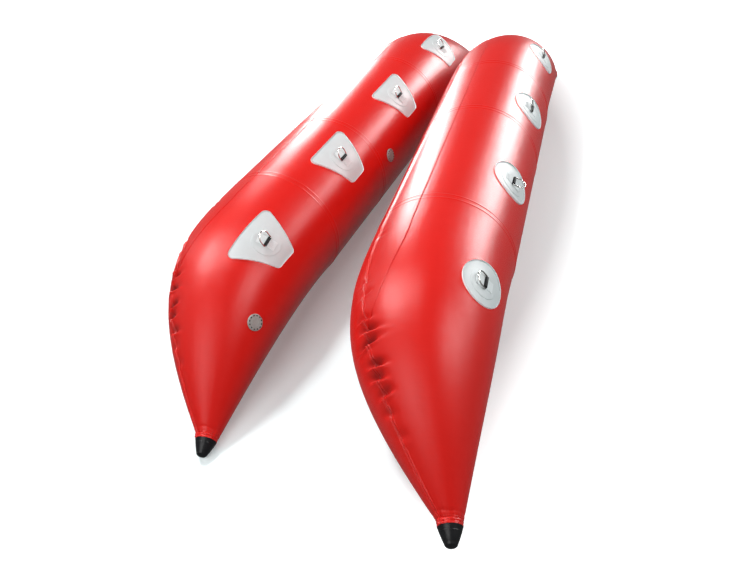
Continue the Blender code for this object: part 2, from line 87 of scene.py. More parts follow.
class Finish:
    """A material on the Principled shader, with a method that adds any other node."""

    def __init__(self, name, tree=None, **sockets):
        if tree is None:
            self.material = bpy.data.materials.new(name)
            self.material.use_nodes = True
            tree = self.material.node_tree
        self.tree = tree
        self.shader = tree.nodes.get("Principled BSDF")
        for socket, value in sockets.items():
            self.set(socket.replace("_", " ").title().replace("Ior", "IOR"), value)

    def node(self, kind, settings, inputs, output=0):
        made = self.tree.nodes.new(kind)
        for name, setting in settings.items():
            setattr(made, name, setting)
        for socket, value in inputs.items():
            self.plug(made.inputs[socket], value)
        return Value(self, made.outputs[output])

    def plug(self, socket, value):
        if isinstance(value, Value):
            self.tree.links.new(value.socket, socket)
        elif isinstance(value, tuple) and len(value) == 3 and socket.type == "RGBA":
            socket.default_value = (*value, 1)
        else:
            socket.default_value = value

    def set(self, socket, value):
        self.plug(self.shader.inputs[socket], value)

    def noise(self, where, scale, detail=2.0, roughness=0.5):
        return self.node(
            "ShaderNodeTexNoise", {}, {"Vector": where, "Scale": scale, "Detail": detail, "Roughness": roughness}
        )

    def speckle(self, scale, detail=2.0):
        """Noise that keeps to the piece, at so many cells a metre."""
        return self.noise(self.place("Object"), scale, detail)

    def blend(self, share, first, second):
        return self.node("ShaderNodeMix", {"data_type": "RGBA"}, {0: share, 6: first, 7: second}, 2)

    def colour(self, share, first, second):
        self.set("Base Color", self.blend(share, first, second))

    def bump(self, height, distance):
        """Bumps the surface by a height from 0 to 1, where 1 stands out by the distance in metres."""
        self.set("Normal", self.node("ShaderNodeBump", {}, {"Height": height, "Distance": distance}))

    def wave(self, where, direction, scale, distortion):
        settings = {"bands_direction": direction}
        return self.node(
            "ShaderNodeTexWave", settings, {"Vector": where, "Scale": scale, "Distortion": distortion}
        )

    def scaled(self, where, along, round_it, out=1.0):
        return self.node("ShaderNodeMapping", {}, {"Vector": where, "Scale": (along, round_it, out)})

    def place(self, kind):
        """Texture coordinates by name: Object or UV."""
        return self.node("ShaderNodeTexCoord", {}, {}, {"Object": 3, "UV": 2}[kind])


camera_data = bpy.data.cameras.new("camera")
camera = bpy.data.objects.new("camera", camera_data)
scene.collection.objects.link(camera)
camera.matrix_world = (
    Matrix.Translation(camera_place)
    @ Matrix.Rotation(-camera_yaw, 4, "Z")
    @ Matrix.Rotation(math.pi / 2 + camera_pitch, 4, "X")
    @ Matrix.Rotation(camera_roll, 4, "Z")
)
camera_data.sensor_width = 36
camera_data.lens = camera_focus_px / photo_width * 36
scene.camera = camera
scene.view_settings.view_transform = "Standard"

# Brightness of the white room in soft shading, and what glossy reflections get on top
world_light, gloss_light = 0.13, 0.08
world = bpy.data.worlds.new("white_room")
scene.world = world
world.use_nodes = True
sky = Finish("sky", tree=world.node_tree)
to_camera = sky.node("ShaderNodeLightPath", {}, {})
in_gloss = Value(sky, to_camera.socket.node.outputs["Is Glossy Ray"])
seen = (to_camera + in_gloss * gloss_light).at_most(1)
background = world.node_tree.nodes["Background"]
background.inputs["Color"].default_value = (1, 1, 1, 1)
sky.plug(background.inputs["Strength"], seen * (1 - world_light) + world_light)

floor_size, floor_drop, floor_glow = 80, 0.0004, 0.19
# The glow is low inside an oval round the pair, given by a shift and a scale, and rises to white beyond it
oval_shift, oval_scale = (0.25, 0.1, 0), (1.6, 0.8)
oval_radius, oval_fade = 1.55, 0.5

bpy.ops.mesh.primitive_plane_add(size=floor_size, location=(0, 0, -floor_drop))
floor = bpy.context.object
floor.name = "studio_floor"
card = Finish("white_card", roughness=0.9)
on_floor = card.place("Object")
grain = card.noise(on_floor, 3.0)
to_camera = card.node("ShaderNodeLightPath", {}, {})
# The card is tinted cyan, a painted colour that cancels the pink light the red tubes bounce into its shadows; rays that
# bounce off it see a darker card
open_card = card.blend(grain, (0.79, 0.90, 0.91), (0.81, 0.92, 0.93))
card.colour(to_camera, (0.36, 0.47, 0.48), open_card)
shifted = card.node("ShaderNodeVectorMath", {"operation": "ADD"}, {0: on_floor, 1: oval_shift})
from_pair = card.node("ShaderNodeVectorMath", {"operation": "LENGTH"}, {0: card.scaled(shifted, *oval_scale)}, 1)
far_off = ((from_pair - oval_radius) / oval_fade).at_least(0).at_most(1)
card.set("Emission Color", (1, 1, 1))
card.set("Emission Strength", to_camera * (far_off * (1 - floor_glow) + floor_glow))
floor.data.materials.append(card.material)
floor.visible_glossy = False


def add_softbox(name, azimuth, elevation, distance, width, height, brightness, only=None):
    """Area lamp facing the tubes. Azimuth 0 is behind the pair, 90 to its right, and its face shines so many
    times as bright as white. Only "shade" keeps it out of glossy reflections, and only "gloss" keeps it to them."""
    turn, rise = math.radians(azimuth), math.radians(elevation)
    towards = Vector((math.sin(turn) * math.cos(rise), math.cos(turn) * math.cos(rise), math.sin(rise)))
    data = bpy.data.lights.new(name, "AREA")
    data.shape = "RECTANGLE"
    data.size, data.size_y = width, height
    data.energy = brightness * math.pi * width * height
    lamp = bpy.data.objects.new(name, data)
    scene.collection.objects.link(lamp)
    facing = towards.to_track_quat("Z", "Y").to_matrix().to_4x4()
    lamp.matrix_world = Matrix.Translation(towards * distance + Vector((0, 0, aim_height))) @ facing
    lamp.visible_diffuse = only != "gloss"
    lamp.visible_glossy = only != "shade"


aim_height = 0.3
add_softbox("key_softbox", -68, 64, 4.6, 0.75, 0.75, 93, only="shade")
add_softbox("left_softbox", -112, 24, 5.0, 2.6, 1.6, 3.0, only="shade")
add_softbox("right_softbox", 92, 36, 5.0, 2.6, 1.6, 9.0, only="shade")
add_softbox("near_softbox", 186, 36, 4.5, 2.8, 1.8, 4.2)
add_softbox("top_softbox", -120, 81, 4.2, 1.0, 1.0, 24, only="gloss")
add_softbox("bow_softbox", -102, 57, 4.6, 1.1, 1.1, 44, only="gloss")
add_softbox("left_strip", -80, 22, 5.0, 0.8, 0.8, 5, only="gloss")
add_softbox("back_left_strip", -34, 15, 5.0, 0.8, 2.3, 40, only="gloss")
add_softbox("back_right_strip", 32, 11, 7.0, 4.5, 1.1, 42, only="gloss")
add_softbox("far_right_strip", 72, 16, 7.0, 4.0, 0.9, 12, only="gloss")
add_softbox("right_strip", 98, 35, 5.0, 1.3, 1.1, 24, only="gloss")

# ------------------------------------------------------------------------------
# Skins of the two air tubes: red PVC-coated cloth, cut in panels and welded along the keel, round both bends
# and round the bulkhead. The bows pucker along the keel weld and gather where the nose collar is tied in.
# ------------------------------------------------------------------------------

tube_radius = 0.275
barrel_length = 1.260
bow_length = 0.996
# Control points of the bow's two lines: shares of its length, and the dip of the deck line
deck_reach, deck_dip = 0.336, 0.0243
keel_reach_1, keel_reach_2 = 0.439, 0.647
nose_tilt = math.radians(19.3)
nose_radius, collar_radius, neck_radius = 0.0430, 0.0390, 0.0340
collar_length, neck_length = 0.020, 0.016
nose_floor_gap = 0.0005
# The solid model's facets: round the tube, the one that rests on the floor, and along each bow
tube_facets, rest_facet, bow_sections = 32, 3, 7
left_splay, right_splay = math.radians(4.74), math.radians(3.67)
left_middle, right_middle = (-0.3579, 0.0919), (0.3596, -0.0857)

facet_angle = 2 * math.pi / tube_facets
tube_roll = math.pi / 2 - (rest_facet + 0.5) * facet_angle
flat_radius = tube_radius * math.cos(facet_angle / 2)
half_barrel = barrel_length / 2
half_length = half_barrel + bow_length
nose_fall = math.sin(nose_tilt) * math.sin(tube_roll)
shoulder_drop = collar_radius * math.sqrt(1 - nose_fall**2) + nose_floor_gap
nose_height = (flat_radius - shoulder_drop) / math.sin(tube_roll) - collar_length * math.sin(nose_tilt)

seam_stations = (-half_barrel, 0.116, half_barrel)
seam_ridge_offset, seam_ridge_width, seam_ridge_height = 0.011, 0.0028, 0.0013
keel_weld_width, keel_weld_height, keel_weld_groove, keel_groove_width = 0.0064, 0.0039, 0.0036, 0.00256
hump_limit = 4
# Each pucker: how far along the bow, how deep, and how long on either side of the keel weld
puckers = [
    (0.120, 0.0030, 0.030), (0.150, 0.0042, 0.034), (0.372, 0.0080, 0.026), (0.427, 0.0090, 0.030),
    (0.521, 0.0150, 0.032), (0.562, 0.0180, 0.040), (0.606, 0.0220, 0.044), (0.672, 0.0200, 0.036),
    (0.708, 0.0180, 0.034), (0.753, 0.0150, 0.032), (0.800, 0.0080, 0.026), (0.850, 0.0045, 0.022),
]
pucker_width, pucker_deepest, pucker_limit = 0.0092, 0.022, 0.16
# Most puckers slant one way and every third the other, on alternate sides of the weld
pucker_slant, third_slant, pucker_shift, other_shift = 0.12, -0.084, 0.010, -0.004
# Profile across a pucker, in pucker widths: a valley steeper beyond its middle, a ridge, and a band of painted shade in
# the crease
valley_before, valley_beyond = 1.7, 0.7
ridge_place, ridge_width, ridge_share = 1.4, 0.7, 0.30
crease_shade_place, crease_shade_width = -0.9, 1.1
gather_count, gather_depth, gather_reach, gather_sink = 22, 0.0003, 0.060, 0.6
# Each groove where the collar is tied in: how far beyond the bow, and how deep
tie_width, tie_wander, ties = 0.0026, 0.0008, [(-0.009, 0.0016), (0.004, 0.0030), (0.0125, 0.0020)]


def bezier(points, share):
    """Point on a Bezier curve at a share of its length, by repeated mixing of its control points."""
    while len(points) > 1:
        points = [a.lerp(b, share) for a, b in zip(points, points[1:])]
    return points[0]


def bow_lines(share):
    """Points on the deck line and the keel line of a bow, as (along, up) from the bend."""
    up = Vector((-math.sin(nose_tilt), math.cos(nose_tilt)))
    nose = Vector((bow_length, nose_height))
    deck_middle = Vector((deck_reach * bow_length, tube_radius - deck_dip))
    deck_line = [Vector((0, tube_radius)), deck_middle, nose + up * nose_radius]
    keel_line = [Vector((reach * bow_length, -tube_radius)) for reach in (0, keel_reach_1, keel_reach_2)]
    return bezier(deck_line, share), bezier(keel_line + [nose - up * nose_radius], share)


def section(station):
    """Centre and deck-side radius of the tube at a station, both as (along, up), and its half width."""
    beyond = abs(station) - half_barrel
    if beyond <= 0:
        return Vector((station, 0)), Vector((0, tube_radius)), tube_radius
    if beyond > bow_length:
        axis = Vector((math.cos(nose_tilt), math.sin(nose_tilt)))
        reach = beyond - bow_length
        across = nose_radius + (collar_radius - nose_radius) * min(reach / collar_length, 1)
        centre = Vector((half_length, nose_height)) + axis * reach
        radius, half_width = Vector((-axis.y, axis.x)) * across, across
    else:
        share = beyond / bow_length
        deck, keel = bow_lines(share)
        step = 0.001
        before = sum(bow_lines(share - step), Vector((0, 0)))
        after = sum(bow_lines(share + step), Vector((0, 0)))
        radius = (deck - keel) / 2
        half_width = abs(radius.cross((after - before).normalized()))
        centre = (deck + keel) / 2 + Vector((half_barrel, 0))
    if station < 0:
        centre.x *= -1
        radius.x *= -1
    return centre, radius, half_width


def ridge(centre, radius, half_width, angle, lift=0.0):
    """Point on a section at an angle, counted from the deck side, and outside it by a lift."""
    up = (radius + radius.normalized() * lift) * math.cos(angle)
    return Vector((centre.x + up.x, -math.sin(angle) * (half_width + lift), centre.y + up.y))


def hump(distance, width):
    return math.exp(-((distance / width) ** 2))


def pucker_here(station, angle, half_width):
    """How far the puckers push the cloth out at a point, and how much shade is painted on it in a crease, from 0 to 1.
    """
    beyond = abs(station) - half_barrel
    from_keel = (angle - math.pi) * half_width
    out, crease_shade = 0.0, 0.0
    if beyond > 0 and abs(from_keel) < pucker_limit:
        for number, (along, depth, length) in enumerate(puckers):
            slant = pucker_slant if number % 3 else third_slant
            shift = (beyond - along - slant * from_keel) / pucker_width
            if abs(shift) < hump_limit:
                middle = pucker_shift if number % 2 else other_shift
                reach = hump(from_keel - (middle if station < 0 else -middle), length)
                valley = hump(shift, valley_before if shift < 0 else valley_beyond)
                out += depth * reach * (ridge_share * hump(shift - ridge_place, ridge_width) - valley)
                crease_shade += depth / pucker_deepest * reach * hump(shift - crease_shade_place, crease_shade_width)
    return out, min(crease_shade, 1.0)


def folds(station, angle, half_width):
    """How far the cloth stands out of the smooth tube: its welds, puckers and gathers."""
    beyond = abs(station) - half_barrel
    out = pucker_here(station, angle, half_width)[0]
    for seam in seam_stations:
        away = abs(station - seam) - seam_ridge_offset
        if abs(away) < hump_limit * seam_ridge_width:
            out += seam_ridge_height * hump(away, seam_ridge_width)
    from_keel = (angle - math.pi) * half_width
    if abs(from_keel) < keel_weld_width:
        out += keel_weld_height - keel_weld_groove * hump(from_keel, keel_groove_width)
    if beyond > bow_length - gather_reach:
        reach = beyond - bow_length
        share = min(1 + reach / gather_reach, 1)
        wander = 0.35 * math.sin(3 * angle + 1) + 0.25 * math.sin(7 * angle)
        out += gather_depth * share**2 * (math.sin(gather_count * angle + 2 * wander) - gather_sink)
        for number, (tie, depth) in enumerate(ties):
            tie += tie_wander * math.sin((5 + 2 * number) * angle + number)
            out -= depth * (0.85 + 0.15 * math.sin((9 + 4 * number) * angle)) * hump(reach - tie, tie_width)
    return out


def lying(yaw, flipped, middle):
    """Frame of a tube that lies rolled on its side, its bow towards the viewer unless it is flipped."""
    bow = Vector((math.sin(yaw), -math.cos(yaw), 0))
    sideways = Vector((math.cos(yaw), math.sin(yaw), 0))
    deck = sideways * math.cos(tube_roll) - Vector((0, 0, math.sin(tube_roll)))
    if flipped:
        bow = -bow
    turn = Matrix((bow, deck.cross(bow), deck)).transposed().to_4x4()
    return Matrix.Translation((middle[0], middle[1], flat_radius)) @ turn


tubes = {
    "left": lying(-left_splay, False, left_middle),
    "right": lying(right_splay, True, right_middle),
}


# The skin's mesh: where each group of rows or columns starts, from the bend or the keel weld, and its spacing
barrel_row_step, seam_row_step, seam_row_count, seam_row_reach = 0.03, 0.00125, 16, 0.024
bow_row_groups = [(0.022, 0.009), (0.34, 0.0042), (0.49, 0.0024), (0.79, 0.006), (bow_length - 0.03, 0.0014)]
weld_columns = [0.0, 0.0014, 0.0028, 0.0042, 0.0046, 0.0052, 0.0075]
column_groups = [(0.011, 0.0048), (0.10, 0.009), (0.2, 0.021)]


def even_steps(low, high, step):
    count = max(1, round((high - low) / step))
    return [low + (high - low) * number / count for number in range(count)]


def grouped_steps(groups, end):
    """Even steps from each group's start up to the next one's, and to the end, which is left out."""
    stops = [start for start, step in groups[1:]] + [end]
    return [mark for (start, step), stop in zip(groups, stops) for mark in even_steps(start, stop, step)]


def skin_stations():
    """Stations of the skin's rows: close together at the welds and in the puckered bows."""
    marks = set()
    for station in even_steps(-half_barrel, half_barrel, barrel_row_step) + [half_barrel]:
        if all(abs(station - seam) > seam_row_reach for seam in seam_stations):
            marks.add(round(station, 5))
    for seam in seam_stations:
        for number in range(-seam_row_count, seam_row_count + 1):
            marks.add(round(seam + number * seam_row_step, 5))
    bow_end = bow_length + collar_length
    for beyond in grouped_steps(bow_row_groups, bow_end) + [bow_end]:
        marks.add(round(half_barrel + beyond, 5))
        marks.add(round(-half_barrel - beyond, 5))
    return sorted(marks)


def skin_angles():
    """Angles of the skin's columns, close together on both sides of the keel weld."""
    away = weld_columns + grouped_steps(column_groups, math.pi * tube_radius)
    half = [distance / tube_radius for distance in away]
    return [math.pi + turn for turn in half] + [math.pi - turn for turn in reversed(half[1:])]


def select_only(piece):
    bpy.ops.object.select_all(action="DESELECT")
    piece.select_set(True)
    bpy.context.view_layer.objects.active = piece


def edit(piece, *steps):
    """Runs edit-mode operators, each given as (operator, settings), on the whole piece."""
    select_only(piece)
    bpy.ops.object.mode_set(mode="EDIT")
    bpy.ops.mesh.select_all(action="SELECT")
    for operator, settings in steps:
        operator(**settings)
    bpy.ops.object.mode_set(mode="OBJECT")


def finish_mesh(piece, material, sharp=30, keep_materials=False):
    """Smooth shading with sharp creases, the material, and the piece's place kept in its mesh."""
    select_only(piece)
    bpy.ops.object.transform_apply(location=True, rotation=True, scale=True)
    if not keep_materials:
        piece.data.materials.clear()
        piece.data.materials.append(material)
    bpy.ops.object.shade_smooth_by_angle(angle=math.radians(sharp))


def apply_modifiers(piece):
    select_only(piece)
    for modifier in list(piece.modifiers):
        bpy.ops.object.modifier_apply(modifier=modifier.name)


def copy_of(piece, name):
    made = piece.copy()
    made.data = piece.data.copy()
    made.name = made.data.name = name
    scene.collection.objects.link(made)
    return made


def delete(piece):
    bpy.data.objects.remove(piece, do_unlink=True)


def cut_out(piece, cutter):
    """Cuts the cutter's shape out of the piece, and deletes the cutter."""
    cut = piece.modifiers.new("cut", "BOOLEAN")
    cut.object = cutter
    cut.operation = "DIFFERENCE"
    apply_modifiers(piece)
    delete(cutter)


def add_red_cloth(name, deep, bright, shine):
    """Red PVC on woven cloth: a faint weave that runs round the tube, long soft streaks in the gloss, and painted shade
    that darkens the puckers' creases.
    """
    finish = Finish(name, specular_ior_level=0.26)
    cloth = finish.place("UV")
    streaks = finish.noise(finish.scaled(cloth, 260, 5), 1.0, 3.0, 0.6)
    clouds = finish.noise(finish.scaled(cloth, 3.1, 5.3), 1.0, 3.0)
    weave = (finish.wave(cloth, "X", 220.0, 0.4) + finish.wave(cloth, "Y", 220.0, 0.4)) * 0.5
    crease_shade = finish.node("ShaderNodeAttribute", {"attribute_name": "crease_shade"}, {}, 2)
    plain = finish.blend((clouds * 0.8 + streaks * 0.4 - 0.1).at_least(0).at_most(1), deep, bright)
    # Painted shade: the cloth turns a deep red in the puckers' creases, as far as the skin's mesh marks them
    finish.colour(crease_shade * 0.75, plain, (0.110, 0.0030, 0.0020))
    finish.set("Roughness", shine + streaks * 0.10 + clouds * 0.05)
    finish.bump(weave * 0.25 + streaks * 0.75, 0.00034)
    return finish.material


red_cloth = add_red_cloth("red_pvc_skin", (0.640, 0.0085, 0.0050), (0.730, 0.0120, 0.0080), 0.25)

bow_valve = (half_barrel + 0.671 * bow_length, math.radians(72))
# Station and angle of each valve; the right tube's second one, on its underside, sits a little further round
valve_places = {
    ("left", 1): bow_valve, ("left", 2): (0.016, math.radians(56.8)),
    ("right", 1): bow_valve, ("right", 2): (0.016, math.radians(62)),
}
valve_pocket_radius, valve_pocket_depth, valve_pocket_top = 0.0290, 0.045, 0.02


def known_section(station):
    """Section of the solid model, which is straight between its own few sections in the bows."""
    beyond = abs(station) - half_barrel
    if beyond <= 0:
        return section(station)
    step = bow_length / bow_sections
    number = min(int(beyond / step), bow_sections - 1)
    share = min(beyond / step - number, 1)
    sign = 1 if station > 0 else -1
    pairs = zip(section(sign * (half_barrel + number * step)), section(sign * (half_barrel + (number + 1) * step)))
    return tuple(a * (1 - share) + b * share for a, b in pairs)


def seat_on(station, angle, lift, shape=section):
    """Frame of a piece that stands on the tube: X along the tube, Z out of it."""
    step = 0.001
    here = ridge(*shape(station), angle)
    along = (ridge(*shape(station + step), angle) - ridge(*shape(station - step), angle)).normalized()
    out = along.cross(Vector((0, math.cos(angle), math.sin(angle)))).normalized()
    turn = Matrix((along, out.cross(along), out)).transposed().to_4x4()
    return Matrix.Translation(here + out * lift) @ turn


def valve_seat(hull, number):
    """Frame of a valve, on the solid model's surface."""
    station, angle = valve_places[hull, number]
    return tubes[hull] @ seat_on(station, angle, 0, known_section)


def add_cylinder(name, radius, low, high, sides, place):
    bpy.ops.mesh.primitive_cylinder_add(vertices=sides, radius=radius, depth=high - low, location=(0, 0, 0))
    made = bpy.context.object
    made.name = name
    made.matrix_world = place @ Matrix.Translation((0, 0, (low + high) / 2))
    return made


def add_grid(name, place, rows, columns, point_at, uv_at):
    """Sheet whose vertices and texture corners are given by their row and column."""
    bpy.ops.mesh.primitive_grid_add(x_subdivisions=rows - 1, y_subdivisions=columns - 1, size=1)
    sheet = bpy.context.object
    sheet.name = sheet.data.name = name
    for index, vert in enumerate(sheet.data.vertices):
        vert.co = place @ point_at(index % rows, index // rows)
    for loop, uv in zip(sheet.data.loops, sheet.data.uv_layers.active.data):
        uv.uv = uv_at(loop.vertex_index % rows, loop.vertex_index // rows)
    return sheet


floor_clearance = 0.0002
stations, angles = skin_stations(), skin_angles()
sections = [section(station) for station in stations]


def skin_point(row, column):
    here, angle = sections[row], angles[column % len(angles)]
    return ridge(*here, angle, folds(stations[row], angle, here[2]))


def skin_uv(row, column):
    """Metres along the tube and round it from the keel weld, where the first and the last column meet."""
    turn = angles[column % len(angles)]
    if column == len(angles) or turn < math.pi:
        turn += 2 * math.pi
    return stations[row], turn * tube_radius


for hull, place in tubes.items():
    skin = add_grid(hull + "_tube_skin", place, len(stations), len(angles) + 1, skin_point, skin_uv)
    for vert in skin.data.vertices:
        vert.co.z = max(vert.co.z, floor_clearance)
    # Painted shade for the cloth: how deep each point lies in a pucker's crease, from 0 to 1
    crease_shades = skin.data.attributes.new("crease_shade", "FLOAT", "POINT")
    for index, crease_shade in enumerate(crease_shades.data):
        row, angle = index % len(stations), angles[index // len(stations) % len(angles)]
        crease_shade.value = pucker_here(stations[row], angle, sections[row][2])[1]
    edit(
        skin,
        (bpy.ops.mesh.remove_doubles, {"threshold": 0.00001}),
        (bpy.ops.mesh.select_all, {"action": "DESELECT"}),
        (bpy.ops.mesh.select_non_manifold, {}),
        (bpy.ops.mesh.edge_face_add, {}),
        (bpy.ops.mesh.select_all, {"action": "SELECT"}),
        (bpy.ops.mesh.normals_make_consistent, {"inside": False}),
    )
    for number in (1, 2):
        seat = valve_seat(hull, number)
        pocket = add_cylinder("valve_pocket", valve_pocket_radius, -valve_pocket_depth, valve_pocket_top, 32, seat)
        cut_out(skin, pocket)
    finish_mesh(skin, red_cloth, 50)
    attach(skin, hull + "_hull")
    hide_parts(hull + "_skin")

# ------------------------------------------------------------------------------
# Bulkheads: cloth cones inside the tubes that part each one into two air chambers. They are plain coated
# cloth, glued in by a flange, and can't be seen from outside, so the solid model's own shape is kept.
# ------------------------------------------------------------------------------

inner_cloth = Finish("bulkhead_cloth_finish", roughness=0.6)
threads = inner_cloth.scaled(inner_cloth.place("Object"), 900, 900, 900)
thread_noise = inner_cloth.noise(threads, 1.0)
inner_cloth.colour(thread_noise, (0.31, 0.30, 0.28), (0.38, 0.37, 0.35))
inner_cloth.bump(thread_noise, 0.0003)
for hull in tubes:
    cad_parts[hull + "_bulkhead"].material_slots[0].material = inner_cloth.material

# ------------------------------------------------------------------------------
# Wear strips: a second layer of the same red cloth, glued along each keel to take the scraping of rocks.
# It is drawn in to a point on both bows, and the keel weld beneath it shows through.
# ------------------------------------------------------------------------------

strip_half_width, strip_thickness = 0.146, 0.0015
strip_reach = half_barrel + 0.177 * bow_length
strip_taper = 0.380 * bow_length
strip_columns = 64
strip_lift, strip_rim, strip_tip_gap, strip_uv_shift = 0.0002, 0.0005, 0.002, 0.31

red_wear_cloth = add_red_cloth("red_wear_strip", (0.600, 0.0080, 0.0045), (0.690, 0.0110, 0.0070), 0.27)


def strip_width(station):
    """Half width of the strip, which narrows like a pencil's point beyond its straight part."""
    share = max(0.0, (abs(station) - strip_reach) / strip_taper)
    return strip_half_width * max(0.0, 1 - share**1.5) ** 0.75


strip_end = strip_reach + strip_taper
strip_stations = [station for station in stations if abs(station) < strip_end - strip_tip_gap]
strip_stations = [-strip_end] + strip_stations + [strip_end]
strip_sections = [section(station) for station in strip_stations]


def from_strip_middle(row, column):
    return strip_width(strip_stations[row]) * (2 * column / strip_columns - 1)


def strip_point(row, column):
    here = strip_sections[row]
    angle = math.pi + from_strip_middle(row, column) / here[2]
    return ridge(*here, angle, folds(strip_stations[row], angle, here[2]) + strip_lift)


def strip_uv(row, column):
    return strip_stations[row] + strip_uv_shift, from_strip_middle(row, column)


for hull, place in tubes.items():
    strip = add_grid(hull + "_wear_strip", place, len(strip_stations), strip_columns + 1, strip_point, strip_uv)
    edit(strip, (bpy.ops.mesh.remove_doubles, {"threshold": 0.00002}))
    middle = min(strip.data.polygons, key=lambda face: (face.center - place @ Vector((0, 0, -tube_radius))).length)
    if middle.normal.dot(place.to_3x3() @ Vector((0, 0, -1))) < 0:
        edit(strip, (bpy.ops.mesh.flip_normals, {}))
    wall = strip.modifiers.new("thickness", "SOLIDIFY")
    wall.thickness = strip_thickness
    wall.offset = 1
    rim = strip.modifiers.new("rim", "BEVEL")
    rim.width, rim.segments = strip_rim, 2
    rim.limit_method = "ANGLE"
    rim.angle_limit = math.radians(60)
    apply_modifiers(strip)
    finish_mesh(strip, red_wear_cloth, 40)
    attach(strip, hull + "_hull")
    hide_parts(hull + "_keel_strip")

# ------------------------------------------------------------------------------
# Nose caps: black rubber thimbles, moulded in one piece, pushed over the tied-in neck at each end of a tube
# and glued. The rubber is smooth with a dull shine, and the rim of its open end is bevelled.
# ------------------------------------------------------------------------------

cap_length, cap_tip_radius, cap_tip_height = 0.062, 0.0205, 0.0130
cap_gap, cap_rim, cap_lip = 0.0003, 0.0009, 0.0008
cap_side_bulge = 0.86
cap_steps = 64

rubber = Finish("black_moulded_rubber", roughness=0.36, specular_ior_level=0.25)
rubber_grain = rubber.speckle(900.0, 3.0)
rubber_wear = rubber.speckle(40.0, 4.0)
rubber.colour(rubber_wear, (0.0055, 0.0060, 0.0070), (0.010, 0.010, 0.011))
rubber.set("Roughness", rubber_wear * 0.16 + 0.28)
rubber.bump(rubber_grain, 0.00006)


def spun(name, profile, steps, place):
    """Closed profile of (radius, height) pairs, spun round the Z axis of the place."""
    bpy.ops.mesh.primitive_circle_add(vertices=len(profile), radius=1, location=(0, 0, 0))
    piece = bpy.context.object
    piece.name = piece.data.name = name
    for vert, (radius, height) in zip(piece.data.vertices, profile):
        vert.co = (radius, 0, height)
    turn = {"steps": steps, "angle": 2 * math.pi, "center": (0, 0, 0), "axis": (0, 0, 1)}
    edit(
        piece,
        (bpy.ops.mesh.spin, turn),
        (bpy.ops.mesh.select_all, {"action": "SELECT"}),
        (bpy.ops.mesh.remove_doubles, {"threshold": 0.00002}),
        (bpy.ops.mesh.delete_loose, {}),
        (bpy.ops.mesh.select_all, {"action": "SELECT"}),
        (bpy.ops.mesh.dissolve_degenerate, {"threshold": 0.00002}),
        (bpy.ops.mesh.select_all, {"action": "SELECT"}),
        (bpy.ops.mesh.normals_make_consistent, {"inside": False}),
    )
    piece.matrix_world = place
    return piece


def rounded(corners, radius, steps):
    """The profile's corners (all but those on the axis), each rounded off by an arc."""
    made = []
    for number, corner in enumerate(corners):
        here = Vector(corner)
        before = Vector(corners[number - 1]) - here
        after = Vector(corners[(number + 1) % len(corners)]) - here
        reach = min(radius, 0.45 * before.length, 0.45 * after.length)
        if corner[0] < 0.00001 or reach < 0.00005 or before.angle(after) > math.radians(172):
            made.append(tuple(here))
            continue
        start, end = here + before.normalized() * reach, here + after.normalized() * reach
        for step in range(steps + 1):
            share = step / steps
            made.append(tuple(start.lerp(here, share).lerp(here.lerp(end, share), share)))
    return made


cap_side_length = cap_length - cap_tip_height - cap_gap
cap_flare = collar_radius - cap_tip_radius
cap_side = [
    (cap_tip_radius + cap_flare * (1 - share) ** cap_side_bulge, cap_gap + share * cap_side_length)
    for share in (number / 10 for number in range(11))
]
cap_tip = [
    (cap_tip_radius * math.cos(turn), cap_length - cap_tip_height * (1 - math.sin(turn)))
    for turn in (math.pi / 2 * number / 8 for number in range(1, 8))
]
socket_radius, socket_end = neck_radius + cap_gap, neck_length + cap_gap
cap_profile = cap_side + cap_tip + [(0, cap_length), (0, socket_end), (socket_radius, socket_end)]
cap_profile += [(socket_radius, cap_gap), (collar_radius - cap_lip, cap_gap)]
cap_profile[0] = (collar_radius, cap_gap + cap_rim)
for hull, place in tubes.items():
    for end, direction in (("bow", 1), ("stern", -1)):
        axis = Vector((direction * math.cos(nose_tilt), 0, math.sin(nose_tilt)))
        shoulder = Vector((direction * half_length, 0, nose_height)) + axis * collar_length
        turn = axis.to_track_quat("Z", "Y").to_matrix().to_4x4()
        cap = spun(f"{hull}_{end}_nose_cap", cap_profile, cap_steps, place @ Matrix.Translation(shoulder) @ turn)
        finish_mesh(cap, rubber.material, 45)
        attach(cap, hull + "_hull")
        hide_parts(f"{hull}_{end}_cap")

# ------------------------------------------------------------------------------
# Inflation valves: grey moulded bodies clamped through the skin, with a ring of slots for the fitting wrench,
# a dished lid, and below it a spring-loaded stem that seals the air holes in the floor of the body.
# ------------------------------------------------------------------------------

valve_steps = 64
flange_radius, flange_height, flange_edge = 0.0325, 0.0070, 0.0030
barrel_radius, bore_radius = 0.0237, 0.0205
valve_depth, valve_floor = 0.0200, 0.0030
stem_radius, seat_gap = 0.0035, 0.0003
notch_count, notch_circle, notch_length, notch_width, notch_depth = 12, 0.0262, 0.0050, 0.0062, 0.0032
air_hole_count, air_hole_circle, air_hole_radius = 5, 0.0095, 0.0030
lid_height, lid_thickness = 0.0085, 0.0060
body_round, lid_round, round_steps = 0.0007, 0.0006, 3
notch_lip, slack = 0.0004, 0.0001

plastic = Finish("grey_moulded_plastic", roughness=0.35, specular_ior_level=0.5)
plastic_wear = plastic.speckle(70.0, 4.0)
plastic_grain = plastic.speckle(1400.0)
plastic.colour(plastic_wear, (0.300, 0.300, 0.285), (0.380, 0.380, 0.360))
plastic.set("Roughness", plastic_wear * 0.18 + 0.26)
plastic.bump(plastic_grain, 0.00004)

